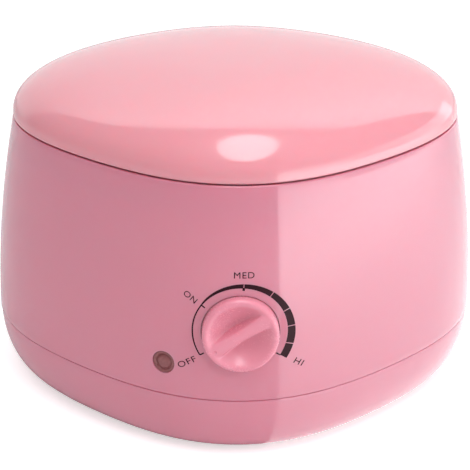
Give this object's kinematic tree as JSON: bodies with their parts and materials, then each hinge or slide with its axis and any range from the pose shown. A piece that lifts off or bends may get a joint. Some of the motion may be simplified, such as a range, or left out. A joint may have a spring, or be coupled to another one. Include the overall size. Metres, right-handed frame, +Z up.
{
  "type": "candle wax melter",
  "caption": "Countertop wax melter: rounded housing with a hinged domed lid over a heated lift-out pot, rotary thermostat knob, indicator lamp and rear mains inlet.",
  "frame": {"origin": "on the table under the feet, at the centre of the whole box", "axes": "+Z up, the dial faces -Y, +X to the viewer's right"},
  "size_m": [0.2, 0.1832, 0.1362],
  "materials": {
    "body_plastic": "glossy moulded pink",
    "lid_plastic": "glossy moulded salmon pink",
    "knob_plastic": "glossy moulded pink",
    "lens_plastic": "smoky red-brown lens",
    "dark_plastic": "black moulded, fine texture",
    "block_plastic": "natural white moulded",
    "pot_aluminium": "satin anodised, turned",
    "chamber_aluminium": "pressed, dull",
    "heater_steel": "mica band heater in heat-tinted steel",
    "steel": "zinc plated",
    "brass": "bare brass",
    "spring_brass": "rolled spring bronze",
    "ceramic": "unglazed steatite",
    "lamp_glass": "clear glass",
    "rubber": "moulded rubber",
    "fuse_metal": "plated case",
    "wire_brown": "silicone insulation",
    "wire_blue": "silicone insulation",
    "wire_white": "glass-sleeved silicone insulation"
  },
  "bodies": {
    "housing": {"upper_housing": "body_plastic", "base_tray": "body_plastic", "hinge_pin": "steel", "heating_chamber": "chamber_aluminium", "chamber_screws": "steel", "band_heater": "heater_steel", "heater_clamp_bolt": "steel", "heater_clamp_nut": "steel", "thermostat_bracket": "steel", "bracket_screws": "steel", "thermostat_insulators": "ceramic", "upper_contact_blade": "spring_brass", "lower_contact_blade": "spring_brass", "thermostat_top_plate": "steel", "thermostat_rivet": "steel", "indicator_lens": "lens_plastic", "lamp_holder": "dark_plastic", "neon_lamp": "lamp_glass", "inlet_body": "dark_plastic", "inlet_pins": "brass", "inlet_screws": "steel", "rubber_feet": "rubber", "base_screws": "steel", "terminal_block": "block_plastic", "terminal_block_screw": "steel", "terminal_clamps": "brass", "thermal_fuse": "fuse_metal", "fuse_clip": "steel", "fuse_clip_screw": "steel", "live_wire": "wire_brown", "neutral_wire": "wire_blue", "fuse_wires": "wire_white", "heater_wires": "wire_white", "lamp_wires": "wire_white"},
    "lid": {"lid": "lid_plastic"},
    "knob": {"knob": "knob_plastic", "thermostat_shaft": "brass"},
    "pot": {"inner_pot": "pot_aluminium", "bail_ears": "pot_aluminium"},
    "bail": {"pot_bail": "steel"}
  },
  "joints": [
    {"name": "lid_hinge", "type": "hinge", "parent": "housing", "child": "lid", "pos_m": [0, 0.08776, 0.10665], "axis": [-1, 0, 0], "range_deg": [0, 100]},
    {"name": "knob_turn", "type": "hinge", "parent": "housing", "child": "knob", "pos_m": [0, -0.0865, 0.0556], "axis": [0, 0.9971, -0.0757], "range_deg": [0, 245]},
    {"name": "pot_lift", "type": "slide", "parent": "housing", "child": "pot", "axis": [0, 0, 1], "range_m": [0, 0.008]},
    {"name": "bail_swing", "type": "hinge", "parent": "pot", "child": "bail", "pos_m": [0, 0.0056, 0.10665], "axis": [-1, 0, 0], "range_deg": [0, 5]}
  ]
}
